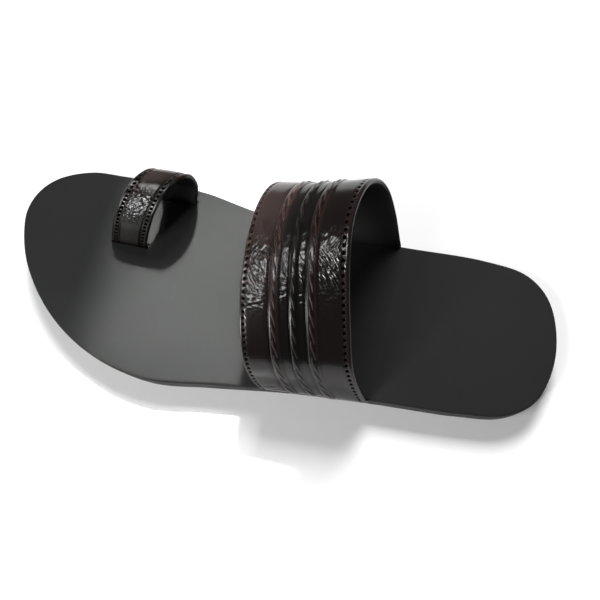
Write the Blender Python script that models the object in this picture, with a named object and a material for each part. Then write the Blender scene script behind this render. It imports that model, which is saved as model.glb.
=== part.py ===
"""Left slipper: a flat two-layer sole, a wide strap over the instep and a loop round the big toe.

+Y points to the toe, +X to the inner side of the foot and +Z up. The sole stands on Z = 0.
"""

import math
from collections import namedtuple

import bmesh
import bpy
import numpy as np

MM = 0.001

# Sole, as measured over its outline
LENGTH = 286.0 * MM
BALL_WIDTH = 106.8 * MM
OUTSOLE_THICKNESS = 8.0 * MM
INSOLE_THICKNESS = 5.2 * MM
ARCH_RISE = 1.6 * MM
TOE_SPRING = 2.8 * MM
INSOLE_EDGE_RADIUS = 1.3 * MM
OUTSOLE_EDGE_RADIUS = 0.9 * MM
CLEARANCE = 0.3 * MM

# Cross ribs under heel and forefoot
GROOVE_WIDTH = 3.0 * MM
GROOVE_PITCH = 8.5 * MM
GROOVE_DEPTH = 1.3 * MM
TREAD_RIM = 9.0 * MM

# Strap over the instep
STRAP_WIDTH = 52.0 * MM
STRAP_WALL = 2.4 * MM
STRAP_BACK_HEIGHT = 63.0 * MM
STRAP_FRONT_HEIGHT = 51.0 * MM
STRAP_BACK_PROUD = 1.3 * MM
STRAP_FRONT_PROUD = 0.2 * MM
STRAP_RELIEF = 0.65 * MM

# Loop round the big toe
LOOP_WIDTH = 20.8 * MM
LOOP_WALL = 2.2 * MM
LOOP_HEIGHT = 31.0 * MM
LOOP_SPAN = 31.2 * MM
LOOP_SKEW = 19.5 * MM
LOOP_RELIEF = 0.5 * MM

# Ends of both bands, folded in under the insole, and how far a notch opens past the sole's edge
NOTCH_OPENING = 2.0 * MM
FOLD_RADIUS = 3.4 * MM
TAB_THICKNESS = 1.5 * MM
STRAP_TAB = 13.0 * MM
LOOP_TAB = 7.0 * MM

# Places, as shares of the sole's length from the heel and of the ball's width from the sole's axis
HEEL_TIP_ACROSS = 0.005
TOE_TIP_ACROSS = 0.199
STRAP_BACK_AT = 0.279
LOOP_BACK_AT = 0.737
LOOP_OUTER_AT = 0.125
HEEL_FLAT_END = 0.27
FOREFOOT_FLAT_START = 0.54
TOE_SPRING_START = 0.816
HEEL_TREAD = (0.07, 0.24)
FOREFOOT_TREAD = (0.58, 0.80)

# How far each band leans to the toe for each unit that it rises
STRAP_BACK_LEAN = 0.29
STRAP_FRONT_LEAN = 0.22
LOOP_LEAN = -0.07

# Resolution
OUTLINE_STATIONS = 40
STEPS_BETWEEN_ROWS = 3
FOLD_STEPS = 4
CURVE_STEPS = 12
SEAT_COLUMNS = 13
SHARP_ANGLE = 35.0

# Outline of the sole: share of length, then the two edges as shares of ball width from the axis
OutlineRow = namedtuple("OutlineRow", "along outer inner")
OUTLINE = (
    OutlineRow(0.020, -0.209, 0.240),
    OutlineRow(0.061, -0.297, 0.346),
    OutlineRow(0.132, -0.334, 0.380),
    OutlineRow(0.272, -0.365, 0.376),
    OutlineRow(0.412, -0.405, 0.374),
    OutlineRow(0.552, -0.463, 0.423),
    OutlineRow(0.660, -0.507, 0.478),
    OutlineRow(0.745, -0.479, 0.492),
    OutlineRow(0.832, -0.389, 0.490),
    OutlineRow(0.900, -0.263, 0.480),
    OutlineRow(0.960, -0.083, 0.411),
    OutlineRow(0.990, 0.078, 0.317),
)

# Arch of a band: shares of the span between its feet and of its height, at its back and front edge
ArchRow = namedtuple("ArchRow", "back_across back_height front_across front_height")
STRAP_ARCH = (
    ArchRow(0.004, 0.05, 0.002, 0.05),
    ArchRow(0.045, 0.25, 0.025, 0.24),
    ArchRow(0.125, 0.45, 0.085, 0.46),
    ArchRow(0.290, 0.64, 0.220, 0.68),
    ArchRow(0.450, 0.80, 0.385, 0.85),
    ArchRow(0.600, 0.93, 0.570, 0.96),
    ArchRow(0.745, 1.00, 0.745, 1.00),
    ArchRow(0.890, 0.98, 0.880, 0.96),
    ArchRow(1.030, 0.88, 0.985, 0.86),
    ArchRow(1.125, 0.70, 1.065, 0.68),
    ArchRow(1.150, 0.50, 1.100, 0.47),
    ArchRow(1.100, 0.26, 1.065, 0.24),
    ArchRow(1.015, 0.05, 1.010, 0.05),
)
LOOP_ARCH = (
    ArchRow(0.01, 0.07, 0.01, 0.07),
    ArchRow(0.10, 0.27, 0.10, 0.27),
    ArchRow(0.24, 0.52, 0.24, 0.52),
    ArchRow(0.42, 0.75, 0.42, 0.75),
    ArchRow(0.62, 0.92, 0.62, 0.92),
    ArchRow(0.82, 1.00, 0.82, 1.00),
    ArchRow(0.98, 0.97, 0.98, 0.97),
    ArchRow(1.09, 0.84, 1.09, 0.84),
    ArchRow(1.13, 0.62, 1.13, 0.62),
    ArchRow(1.12, 0.40, 1.12, 0.40),
    ArchRow(1.06, 0.21, 1.06, 0.21),
    ArchRow(1.01, 0.07, 1.01, 0.07),
)

# Steps in a band's outer face: share of its width from the front edge, share of its relief
ReliefRow = namedtuple("ReliefRow", "across rise")
STRAP_RELIEF_ROWS = (
    ReliefRow(0.000, -0.95), ReliefRow(0.014, -0.10), ReliefRow(0.040, 0.20), ReliefRow(0.262, 0.30),
    ReliefRow(0.271, -0.75),
    ReliefRow(0.281, 0.70), ReliefRow(0.322, 1.00), ReliefRow(0.364, 0.70),
    ReliefRow(0.374, 0.00), ReliefRow(0.450, 0.00), ReliefRow(0.459, -0.75),
    ReliefRow(0.469, 0.60), ReliefRow(0.500, 0.90), ReliefRow(0.530, 0.60),
    ReliefRow(0.540, 0.00), ReliefRow(0.603, 0.00), ReliefRow(0.613, -0.75),
    ReliefRow(0.624, 0.70), ReliefRow(0.667, 1.00), ReliefRow(0.709, 0.70),
    ReliefRow(0.720, 0.10), ReliefRow(0.960, 0.20), ReliefRow(0.986, -0.10), ReliefRow(1.000, -0.95),
)
LOOP_RELIEF_ROWS = (
    ReliefRow(0.00, -1.0), ReliefRow(0.04, 0.0), ReliefRow(0.16, 0.0), ReliefRow(0.20, -0.6),
    ReliefRow(0.24, 0.2), ReliefRow(0.50, 0.4), ReliefRow(0.76, 0.2), ReliefRow(0.80, -0.6),
    ReliefRow(0.84, 0.0), ReliefRow(0.96, 0.0), ReliefRow(1.00, -1.0),
)

# The six sides of a box whose lower corners come first, then the upper ones
BOX_SIDES = ((3, 2, 1, 0), (4, 5, 6, 7), (0, 1, 5, 4), (1, 2, 6, 5), (2, 3, 7, 6), (3, 0, 4, 7))

# Colour, roughness
Finish = namedtuple("Finish", "colour roughness")
FINISHES = {
    "outsole": Finish((0.012, 0.012, 0.012), 0.60),
    "insole": Finish((0.030, 0.032, 0.032), 0.42),
    "vamp_strap": Finish((0.034, 0.021, 0.019), 0.30),
    "toe_loop": Finish((0.034, 0.021, 0.019), 0.30),
}

# A band: where its feet stand, how high its two edges rise and how its ends are folded in
Band = namedtuple(
    "Band",
    "width wall back_height front_height back_lean front_lean arch relief relief_rows outer_foot inner_foot tab",
)


def clear_scene():
    """Remove every object that the file holds."""
    for scene_object in list(bpy.data.objects):
        bpy.data.objects.remove(scene_object, do_unlink=True)


def make_material(name, finish):
    """Return a Principled material with one colour and one roughness."""
    material = bpy.data.materials.new(name)
    material.use_nodes = True
    shader = material.node_tree.nodes["Principled BSDF"]
    shader.inputs["Base Color"].default_value = (*finish.colour, 1.0)
    shader.inputs["Roughness"].default_value = finish.roughness
    shader.inputs["Metallic"].default_value = 0.0
    return material


def smooth_step(value):
    """Ease from 0 to 1 as value goes from 0 to 1, flat at both ends."""
    value = min(max(value, 0.0), 1.0)
    return value * value * (3.0 - 2.0 * value)


def spline(points, steps):
    """Return a centripetal Catmull-Rom curve from the second of the points to the last but one."""
    points = [np.asarray(point, float) for point in points]
    curve = []
    for first in range(len(points) - 3):
        p0, p1, p2, p3 = points[first:first + 4]
        t0 = 0.0
        t1 = t0 + math.sqrt(np.linalg.norm(p1 - p0))
        t2 = t1 + math.sqrt(np.linalg.norm(p2 - p1))
        t3 = t2 + math.sqrt(np.linalg.norm(p3 - p2))
        for step in range(steps):
            t = t1 + (t2 - t1) * step / steps
            a1 = ((t1 - t) * p0 + (t - t0) * p1) / (t1 - t0)
            a2 = ((t2 - t) * p1 + (t - t1) * p2) / (t2 - t1)
            a3 = ((t3 - t) * p2 + (t - t2) * p3) / (t3 - t2)
            b1 = ((t2 - t) * a1 + (t - t0) * a2) / (t2 - t0)
            b2 = ((t3 - t) * a2 + (t - t1) * a3) / (t3 - t1)
            curve.append(((t2 - t) * b1 + (t - t1) * b2) / (t2 - t1))
    curve.append(points[-2])
    return np.array(curve)


def outline_edges():
    """Return the outer and the inner edge of the sole as (x, y) points from heel tip to toe tip."""
    heel_tip = (HEEL_TIP_ACROSS * BALL_WIDTH, 0.0)
    toe_tip = (TOE_TIP_ACROSS * BALL_WIDTH, LENGTH)
    outer = [(row.outer * BALL_WIDTH, row.along * LENGTH) for row in OUTLINE]
    inner = [(row.inner * BALL_WIDTH, row.along * LENGTH) for row in OUTLINE]
    outer_edge = spline([inner[0], heel_tip, *outer, toe_tip, inner[-1]], CURVE_STEPS)
    inner_edge = spline([outer[0], heel_tip, *inner, toe_tip, outer[-1]], CURVE_STEPS)
    return outer_edge, inner_edge


OUTER_EDGE, INNER_EDGE = outline_edges()


def edge_x(edge, y):
    """Return where an edge of the sole lies at y."""
    rising = np.maximum.accumulate(edge[:, 1])
    return float(np.interp(y, rising, edge[:, 0]))


def toe_lift(y):
    """Return how far the sole has risen towards the toe tip at y."""
    share = (y / LENGTH - TOE_SPRING_START) / (1.0 - TOE_SPRING_START)
    return TOE_SPRING * max(share, 0.0) ** 2


def arch_lift(y):
    """Return how far the underside rises between heel and forefoot at y."""
    share = (y / LENGTH - HEEL_FLAT_END) / (FOREFOOT_FLAT_START - HEEL_FLAT_END)
    return ARCH_RISE * smooth_step(1.0 - abs(2.0 * share - 1.0))


def sole_outline():
    """Return the sole's outline as a closed ring: heel tip, outer edge, toe tip, inner edge."""
    stations = [
        LENGTH * (1.0 - math.cos(math.pi * index / OUTLINE_STATIONS)) / 2.0
        for index in range(OUTLINE_STATIONS + 1)
    ]
    between = stations[1:-1]
    ring = [(edge_x(OUTER_EDGE, 0.0), 0.0)]
    ring += [(edge_x(OUTER_EDGE, y), y) for y in between]
    ring += [(edge_x(OUTER_EDGE, LENGTH), LENGTH)]
    ring += [(edge_x(INNER_EDGE, y), y) for y in reversed(between)]
    return np.array(ring)


def inset_ring(ring, inset):
    """Move each point of a closed ring in by the inset, square to the ring."""
    along = np.roll(ring, -1, axis=0) - np.roll(ring, 1, axis=0)
    along /= np.linalg.norm(along, axis=1)[:, None]
    inward = np.column_stack([along[:, 1], -along[:, 0]])
    return ring + inward * inset


def mesh_object(name, verts, faces):
    """Return a new object with the given mesh, its faces pointing out."""
    mesh = bpy.data.meshes.new(name)
    mesh.from_pydata([tuple(map(float, vert)) for vert in verts], [], faces)
    work = bmesh.new()
    work.from_mesh(mesh)
    bmesh.ops.recalc_face_normals(work, faces=work.faces)
    work.to_mesh(mesh)
    work.free()
    made = bpy.data.objects.new(name, mesh)
    bpy.context.collection.objects.link(made)
    return made


def sole_layer(name, bottom, top, top_radius, bottom_radius):
    """Make one layer of the sole between two height functions, its rims rounded.

    Each ring of the loft is an inset from the outline with a rise above the bottom or a drop below
    the top, and the two caps are strips that run across the sole.
    """
    outline = sole_outline()
    turn = math.sqrt(0.5)
    loops = (
        (bottom_radius, bottom, 0.0),
        (bottom_radius * (1.0 - turn), bottom, bottom_radius * (1.0 - turn)),
        (0.0, bottom, bottom_radius),
        (0.0, top, -top_radius),
        (top_radius * (1.0 - turn), top, -top_radius * (1.0 - turn)),
        (top_radius, top, 0.0),
    )
    verts = []
    for inset, height, rise in loops:
        for outline_point, point in zip(outline, inset_ring(outline, inset)):
            verts.append((point[0], point[1], height(outline_point[1]) + rise))
    count = len(outline)
    faces = []
    for level in range(len(loops) - 1):
        low = level * count
        high = low + count
        for index in range(count):
            after = (index + 1) % count
            faces.append((low + index, low + after, high + after, high + index))
    for base in (0, (len(loops) - 1) * count):
        faces += cap_faces(base, count)
    return mesh_object(name, verts, faces)


def cap_faces(base, count):
    """Return strips that close a ring, each from one edge of the sole straight across to the other."""
    half = count // 2
    faces = [(base, base + 1, base + count - 1)]
    for index in range(1, half - 1):
        faces.append((base + index, base + index + 1, base + count - index - 1, base + count - index))
    faces.append((base + half - 1, base + half, base + half + 1))
    return faces


def outsole_top(y):
    """Height of the joint between outsole and insole."""
    return OUTSOLE_THICKNESS + toe_lift(y)


def insole_bottom(y):
    """Height of the insole's underside, a clearance above the outsole."""
    return outsole_top(y) + CLEARANCE


def insole_top(y):
    """Height of the face that the foot rests on."""
    return insole_bottom(y) + INSOLE_THICKNESS


def outsole_bottom(y):
    """Height of the tread, flat under heel and forefoot."""
    return arch_lift(y) + toe_lift(y)


def foot_line(edge, back_y, width, proud_front, proud_back, side):
    """Return a function that gives a strap foot's outer face from its front (0) to its back (1)."""
    def foot(across):
        y = back_y + width * (1.0 - across)
        proud = proud_front + (proud_back - proud_front) * across
        return np.array([edge_x(edge, y) + side * proud, y, insole_top(y)])
    return foot


def slot_line(x, back_y, width):
    """Return a function that gives a loop foot's outer face from its front (0) to its back (1)."""
    def foot(across):
        y = back_y + width * (1.0 - across)
        return np.array([x, y, insole_top(y)])
    return foot


def instep_strap():
    """The wide strap, its feet on the two edges of the sole."""
    back_y = STRAP_BACK_AT * LENGTH
    return Band(
        width=STRAP_WIDTH, wall=STRAP_WALL, back_height=STRAP_BACK_HEIGHT,
        front_height=STRAP_FRONT_HEIGHT, back_lean=STRAP_BACK_LEAN, front_lean=STRAP_FRONT_LEAN,
        arch=STRAP_ARCH, relief=STRAP_RELIEF, relief_rows=STRAP_RELIEF_ROWS,
        outer_foot=foot_line(OUTER_EDGE, back_y, STRAP_WIDTH, STRAP_FRONT_PROUD, STRAP_BACK_PROUD, -1.0),
        inner_foot=foot_line(INNER_EDGE, back_y, STRAP_WIDTH, STRAP_FRONT_PROUD, STRAP_BACK_PROUD, 1.0),
        tab=STRAP_TAB,
    )


def big_toe_loop():
    """The narrow loop, its inner foot nearer to the heel than its outer one."""
    outer_x = LOOP_OUTER_AT * BALL_WIDTH
    back_y = LOOP_BACK_AT * LENGTH
    return Band(
        width=LOOP_WIDTH, wall=LOOP_WALL, back_height=LOOP_HEIGHT, front_height=LOOP_HEIGHT,
        back_lean=LOOP_LEAN, front_lean=LOOP_LEAN,
        arch=LOOP_ARCH, relief=LOOP_RELIEF, relief_rows=LOOP_RELIEF_ROWS,
        outer_foot=slot_line(outer_x, back_y, LOOP_WIDTH),
        inner_foot=slot_line(outer_x + LOOP_SPAN, back_y - LOOP_SKEW, LOOP_WIDTH),
        tab=LOOP_TAB,
    )


def folded_end(foot, inward, tab, wall):
    """Return the outer line of a folded end from the tab's tip up to the foot, with its wall.

    The last value of each row is the wall there, skived from the band's own down to the tab's.
    """
    up = np.array([0.0, 0.0, 1.0])
    low = foot - up * INSOLE_THICKNESS
    centre = low + inward * FOLD_RADIUS + up * FOLD_RADIUS
    line = [(low + inward * (FOLD_RADIUS + tab), TAB_THICKNESS)]
    for step in range(FOLD_STEPS + 1):
        turn = 0.5 * math.pi * step / FOLD_STEPS
        place = centre - inward * FOLD_RADIUS * math.sin(turn) - up * FOLD_RADIUS * math.cos(turn)
        line.append((place, TAB_THICKNESS + (wall - TAB_THICKNESS) * step / FOLD_STEPS))
    return line


def fold_direction(foot, other_foot):
    """Return the level direction, square to a line of feet, that points to the other feet."""
    along = foot(1.0) - foot(0.0)
    square = np.array([-along[1], along[0], 0.0]) / np.linalg.norm(along)
    return square * np.sign(np.dot(square, other_foot(0.5) - foot(0.5)))


def band_line(band, across):
    """Return a band's outer line at one share of its width, with the wall at each point."""
    up = np.array([0.0, 0.0, 1.0])
    outer = band.outer_foot(across)
    inner = band.inner_foot(across)
    height = band.front_height + (band.back_height - band.front_height) * across
    lean = band.front_lean + (band.back_lean - band.front_lean) * across
    rise = np.array([0.0, lean, 1.0]) * height
    points = [outer - up * FOLD_RADIUS, outer]
    for row in band.arch:
        along = row.front_across + (row.back_across - row.front_across) * across
        level = row.front_height + (row.back_height - row.front_height) * across
        points.append(outer + (inner - outer) * along + rise * level)
    points += [inner, inner - up * FOLD_RADIUS]
    arch = [(point, band.wall) for point in spline(points, STEPS_BETWEEN_ROWS)]
    start = folded_end(outer, fold_direction(band.outer_foot, band.inner_foot), band.tab, band.wall)
    end = folded_end(inner, fold_direction(band.inner_foot, band.outer_foot), band.tab, band.wall)
    return start + arch + list(reversed(end))


def surface_normals(places):
    """Return the outward unit normals of a grid of points indexed by line point, then column."""
    along = np.gradient(places, axis=0)
    over = np.gradient(places, axis=1)
    normals = np.cross(over, along)
    return normals / np.linalg.norm(normals, axis=2)[:, :, None]


def band_grids(band, columns, rises):
    """Return the outer and inner faces of a band as grids of points."""
    lines = [band_line(band, across) for across in columns]
    places = np.array([[point for point, _ in line] for line in lines]).transpose(1, 0, 2)
    walls = np.array([wall for _, wall in lines[0]])
    normals = surface_normals(places)
    shown = (walls - TAB_THICKNESS) / (band.wall - TAB_THICKNESS)
    lift = shown[:, None] * np.array(rises)[None, :]
    outer = places + normals * lift[:, :, None]
    inner = places - normals * walls[:, None, None]
    return outer, inner


def closed_band(name, outer, inner):
    """Close two grids of points into one solid."""
    rows, columns = outer.shape[:2]
    verts = list(outer.reshape(-1, 3)) + list(inner.reshape(-1, 3))
    under = rows * columns
    faces = []
    for row in range(rows - 1):
        for column in range(columns - 1):
            corner = row * columns + column
            quad = (corner, corner + 1, corner + columns + 1, corner + columns)
            faces.append(quad)
            faces.append(tuple(under + index for index in reversed(quad)))
        for column in (0, columns - 1):
            corner = row * columns + column
            faces.append((corner, corner + columns, under + corner + columns, under + corner))
    for row in (0, rows - 1):
        for column in range(columns - 1):
            corner = row * columns + column
            faces.append((corner, corner + 1, under + corner + 1, under + corner))
    return mesh_object(name, verts, faces)


def make_band(name, band):
    """Make a band as one hollow wall with the steps of its outer face."""
    columns = [row.across for row in band.relief_rows]
    rises = [row.rise * band.relief for row in band.relief_rows]
    outer, inner = band_grids(band, columns, rises)
    return closed_band(name, outer, inner)


def seat_cutter(name, band, foot, other_foot, opening):
    """Make the space that one folded end of a band needs in the insole, a clearance all round.

    The opening is how much further than that the space reaches outward, past the sole's edge.
    """
    highest = max(row.rise for row in band.relief_rows) * band.relief
    up = np.array([0.0, 0.0, 1.0])
    margin = CLEARANCE / band.width
    inward = fold_direction(foot, other_foot)
    lines = []
    for across in np.linspace(-margin, 1.0 + margin, SEAT_COLUMNS):
        place = foot(across)
        line = folded_end(place, inward, band.tab + CLEARANCE, band.wall)
        line += [(place, band.wall), (place + up * INSOLE_THICKNESS, band.wall)]
        lines.append(line)
    places = np.array([[point for point, _ in line] for line in lines]).transpose(1, 0, 2)
    walls = np.array([thickness for _, thickness in lines[0]])
    normals = surface_normals(places)
    normals *= -np.sign(np.sum(normals[-1, 0] * inward))
    outer_face = places + normals * (CLEARANCE + highest + opening)
    inner_face = places - normals * (walls + CLEARANCE)[:, None, None]
    return as_cutter(closed_band(name, outer_face, inner_face))


def as_cutter(cutter):
    """Keep an object out of the model: it only shapes others."""
    cutter.hide_render = True
    cutter.display_type = "WIRE"
    return cutter


def groove_cutters():
    """Make one cutter that holds the cross grooves between the ribs of heel and forefoot."""
    verts = []
    faces = []
    for start, end in (HEEL_TREAD, FOREFOOT_TREAD):
        for index in range(int((end - start) * LENGTH / GROOVE_PITCH) + 1):
            back = start * LENGTH + index * GROOVE_PITCH
            front = back + GROOVE_WIDTH
            left = max(edge_x(OUTER_EDGE, back), edge_x(OUTER_EDGE, front)) + TREAD_RIM
            right = min(edge_x(INNER_EDGE, back), edge_x(INNER_EDGE, front)) - TREAD_RIM
            base = len(verts)
            for height in (-GROOVE_DEPTH, GROOVE_DEPTH):
                verts += [(left, back, height), (right, back, height)]
                verts += [(right, front, height), (left, front, height)]
            faces += [tuple(base + corner for corner in side) for side in BOX_SIDES]
    return as_cutter(mesh_object("groove_cutter", verts, faces))


def cut(target, cutter):
    """Cut one object out of another with an exact Boolean."""
    modifier = target.modifiers.new(cutter.name, "BOOLEAN")
    modifier.operation = "DIFFERENCE"
    modifier.solver = "EXACT"
    modifier.object = cutter


def shade(made):
    """Shade an object smooth, its creases kept sharp."""
    made.data.shade_smooth()
    made.data.set_sharp_from_angle(angle=math.radians(SHARP_ANGLE))


def stand_on_origin(objects):
    """Parent the objects to one empty, placed so that their box stands centred on the origin."""
    corners = []
    for made in objects:
        corners += [vertex.co for vertex in made.data.vertices]
    low = [min(corner[axis] for corner in corners) for axis in range(3)]
    high = [max(corner[axis] for corner in corners) for axis in range(3)]
    stand = bpy.data.objects.new("slipper", None)
    bpy.context.collection.objects.link(stand)
    stand.location = (-(low[0] + high[0]) / 2.0, -(low[1] + high[1]) / 2.0, -low[2])
    return stand


def main():
    """Build the slipper."""
    clear_scene()
    strap = instep_strap()
    loop = big_toe_loop()

    outsole = sole_layer("outsole", outsole_bottom, outsole_top, CLEARANCE, OUTSOLE_EDGE_RADIUS)
    insole = sole_layer("insole", insole_bottom, insole_top, INSOLE_EDGE_RADIUS, CLEARANCE)
    vamp_strap = make_band("vamp_strap", strap)
    toe_loop = make_band("toe_loop", loop)

    grooves = groove_cutters()
    cut(outsole, grooves)
    cutters = [grooves]
    for band, label, opening in ((strap, "strap", NOTCH_OPENING), (loop, "loop", 0.0)):
        feet = (band.outer_foot, band.inner_foot)
        for side, foot, other_foot in (("outer", *feet), ("inner", *reversed(feet))):
            cutters.append(seat_cutter(f"{label}_{side}_seat", band, foot, other_foot, opening))
            cut(insole, cutters[-1])

    pieces = [outsole, insole, vamp_strap, toe_loop]
    stand = stand_on_origin(pieces)
    for made in pieces + cutters:
        made.parent = stand
    for made in pieces:
        made.data.materials.append(make_material(made.name, FINISHES[made.name]))
        shade(made)


if __name__ == "__main__":
    main()
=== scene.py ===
"""Looks of a left slipper: a flat two-layer sole, a wide leather strap and a loop round the big toe.

Every piece is first a flat blank, cut and sewn in millimetres, and is then bent over its arch, so that
seams, holes and creases lie where they lie in the flat leather. +Y points to the toe, +X to the inner
side of the foot, +Z up, and the sole stands on Z = 0.
"""

from __future__ import annotations

import logging
import math
from dataclasses import dataclass, field
from enum import Enum
from typing import Callable, NamedTuple, Sequence

import bmesh
import bpy
import numpy as np
from mathutils import Matrix, Quaternion, Vector

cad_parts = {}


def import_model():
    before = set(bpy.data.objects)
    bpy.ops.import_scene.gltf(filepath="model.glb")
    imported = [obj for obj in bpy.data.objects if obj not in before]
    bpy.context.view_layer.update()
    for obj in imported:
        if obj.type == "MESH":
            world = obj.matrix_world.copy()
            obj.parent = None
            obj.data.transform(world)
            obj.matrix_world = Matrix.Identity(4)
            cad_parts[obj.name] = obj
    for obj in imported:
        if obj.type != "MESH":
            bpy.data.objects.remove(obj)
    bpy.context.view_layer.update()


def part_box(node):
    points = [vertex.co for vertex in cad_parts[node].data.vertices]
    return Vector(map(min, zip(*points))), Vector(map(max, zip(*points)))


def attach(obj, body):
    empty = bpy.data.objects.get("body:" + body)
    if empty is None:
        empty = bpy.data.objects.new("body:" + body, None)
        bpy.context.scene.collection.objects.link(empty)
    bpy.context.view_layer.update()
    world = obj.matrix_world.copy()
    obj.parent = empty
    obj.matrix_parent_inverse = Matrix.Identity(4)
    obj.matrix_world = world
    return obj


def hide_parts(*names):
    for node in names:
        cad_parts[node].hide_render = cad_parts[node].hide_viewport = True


Piece = bpy.types.Object
Socket = bpy.types.NodeSocket
Colour = tuple[float, float, float, float]

MM = 0.001
UP = np.array([0.0, 0.0, 1.0])

# Points of the sole that are nearer than this lie at the same height
TOUCH = 1e-7

# Edges that turn by more than so many degrees stay sharp, on the sole and on a ply
RIM_ANGLE = 40.0
PLY_ANGLE = 60.0

LOG = logging.getLogger("slipper")


class Side(Enum):
    """The two long edges of the sole, by the sign of their X."""

    OUTER = -1.0
    INNER = 1.0


class Ply(Enum):
    """The two plies of a band, each as the shares of the wall between which it lies."""

    LEATHER = (0.0, 0.58)
    LINING = (0.60, 1.0)


class Mixed(Enum):
    """What a Mix node mixes: its data type, the inputs for it and the output."""

    COLOUR = ("RGBA", (0, 6, 7), 2)
    NUMBER = ("FLOAT", (0, 2, 3), 0)


class OutlineRow(NamedTuple):
    """Where the two edges of the sole lie, as shares of the ball's width, at a share of the length."""

    along: float
    outer: float
    inner: float


class ArchRow(NamedTuple):
    """One point of a band's arch, as shares of its span and height, at its back and front edge."""

    back_across: float
    back_height: float
    front_across: float
    front_height: float


class Step(NamedTuple):
    """One point of a listed curve: where it lies, and its value there."""

    at: float
    value: float


class Crease(NamedTuple):
    """A listed crease: its middle from the front edge and from the outer foot, its length, its turn from the
    band's own direction and its depth, in millimetres and degrees.
    """

    across: float
    along: float
    length: float
    turn: float
    depth: float


def table(row: type, *values: Sequence[float]) -> tuple:
    """Name the columns of a table.

    Args:
        row: The kind of its rows.
        *values: The rows' values.

    Returns:
        The rows.
    """
    return tuple(row(*value) for value in values)


def read_steps(steps: Sequence[Step], at: np.ndarray) -> np.ndarray:
    """Read a listed curve.

    Args:
        steps: The curve's points.
        at: Where it is read.

    Returns:
        Its value at each place.
    """
    return np.interp(at, *np.transpose(steps))


def ease(value: np.ndarray | float) -> np.ndarray | float:
    """Ease from 0 to 1 as the value goes from 0 to 1.

    Args:
        value: One number or an array of them.

    Returns:
        The eased number or array, flat at both ends.
    """
    value = np.clip(value, 0.0, 1.0)
    return value * value * (3.0 - 2.0 * value)


def spline(points: Sequence[Sequence[float]], steps: int) -> np.ndarray:
    """Run a centripetal Catmull-Rom curve from the second of the points to the last but one.

    Args:
        points: The points, with one more at each end that only gives a direction.
        steps: How many pieces each stretch between two points has.

    Returns:
        The curve's points, one a row.
    """
    knots = [np.asarray(point, float) for point in points]
    curve = []
    for p0, p1, p2, p3 in zip(knots, knots[1:], knots[2:], knots[3:]):
        t1 = math.sqrt(np.linalg.norm(p1 - p0))
        t2 = t1 + math.sqrt(np.linalg.norm(p2 - p1))
        t3 = t2 + math.sqrt(np.linalg.norm(p3 - p2))
        for t in np.linspace(t1, t2, steps, endpoint=False):
            a1 = ((t1 - t) * p0 + t * p1) / t1
            a2 = ((t2 - t) * p1 + (t - t1) * p2) / (t2 - t1)
            a3 = ((t3 - t) * p2 + (t - t2) * p3) / (t3 - t2)
            b1 = ((t2 - t) * a1 + t * a2) / t2
            b2 = ((t3 - t) * a2 + (t - t1) * a3) / (t3 - t1)
            curve.append(((t2 - t) * b1 + (t - t1) * b2) / (t2 - t1))
    curve.append(knots[-2])
    return np.array(curve)


def lengths_along(points: np.ndarray) -> np.ndarray:
    """Measure a line's length from its start to each of its points.

    Args:
        points: The line's points, one a row.

    Returns:
        The lengths, from 0.
    """
    return np.concatenate([[0.0], np.cumsum(np.linalg.norm(np.diff(points, axis=0), axis=1))])


def net_normals(places: np.ndarray) -> np.ndarray:
    """Find the normals of a net of places.

    Args:
        places: The places, indexed by their step along the net, then across it.

    Returns:
        The unit normals, indexed the same way.
    """
    normals = np.cross(np.gradient(places, axis=1), np.gradient(places, axis=0))
    return normals / np.linalg.norm(normals, axis=2)[:, :, None]


def raise_faces(work: bmesh.types.BMesh, height: float) -> None:
    """Double the faces of a flat mesh and raise the copy, with a closed rim between the two.

    Args:
        work: The flat mesh.
        height: How far the copy is raised.
    """
    raised = bmesh.ops.extrude_face_region(work, geom=work.faces[:])
    verts = [item for item in raised["geom"] if isinstance(item, bmesh.types.BMVert)]
    bmesh.ops.translate(work, verts=verts, vec=(0.0, 0.0, height))


def double_sheet(columns: int, rows: int) -> bmesh.types.BMesh:
    """Make a closed double sheet, to be bent.

    Args:
        columns: Steps across it.
        rows: Steps along it.

    Returns:
        The sheet, from -0.5 to 0.5 both ways, its outer face at 0 and its inner one at 1.
    """
    work = bmesh.new()
    bmesh.ops.create_grid(work, x_segments=columns, y_segments=rows, size=0.5)
    raise_faces(work, 1.0)
    return work


def new_piece(name: str, work: bmesh.types.BMesh, sharp_angle: float = 180.0) -> Piece:
    """Turn a bmesh into a smooth shaded object at the origin.

    Args:
        name: The object's name.
        work: The bmesh, which is freed.
        sharp_angle: Edges that turn by more than this many degrees stay sharp.

    Returns:
        The new object.
    """
    mesh = bpy.data.meshes.new(name)
    work.to_mesh(mesh)
    work.free()
    mesh.shade_smooth()
    if sharp_angle < 180.0:
        mesh.set_sharp_from_angle(angle=math.radians(sharp_angle))
    piece = bpy.data.objects.new(name, mesh)
    bpy.context.scene.collection.objects.link(piece)
    return piece


def read_places(mesh: bpy.types.Mesh) -> np.ndarray:
    """Read where a mesh's vertices are.

    Args:
        mesh: The mesh.

    Returns:
        The vertices' places, one a row.
    """
    places = np.zeros(len(mesh.vertices) * 3, np.float32)
    mesh.vertices.foreach_get("co", places)
    return places.reshape(-1, 3).astype(float)


def write_places(mesh: bpy.types.Mesh, places: np.ndarray) -> None:
    """Move a mesh's vertices.

    Args:
        mesh: The mesh.
        places: The vertices' new places, one a row.
    """
    mesh.vertices.foreach_set("co", places.astype(np.float32).ravel())
    mesh.update()


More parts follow.
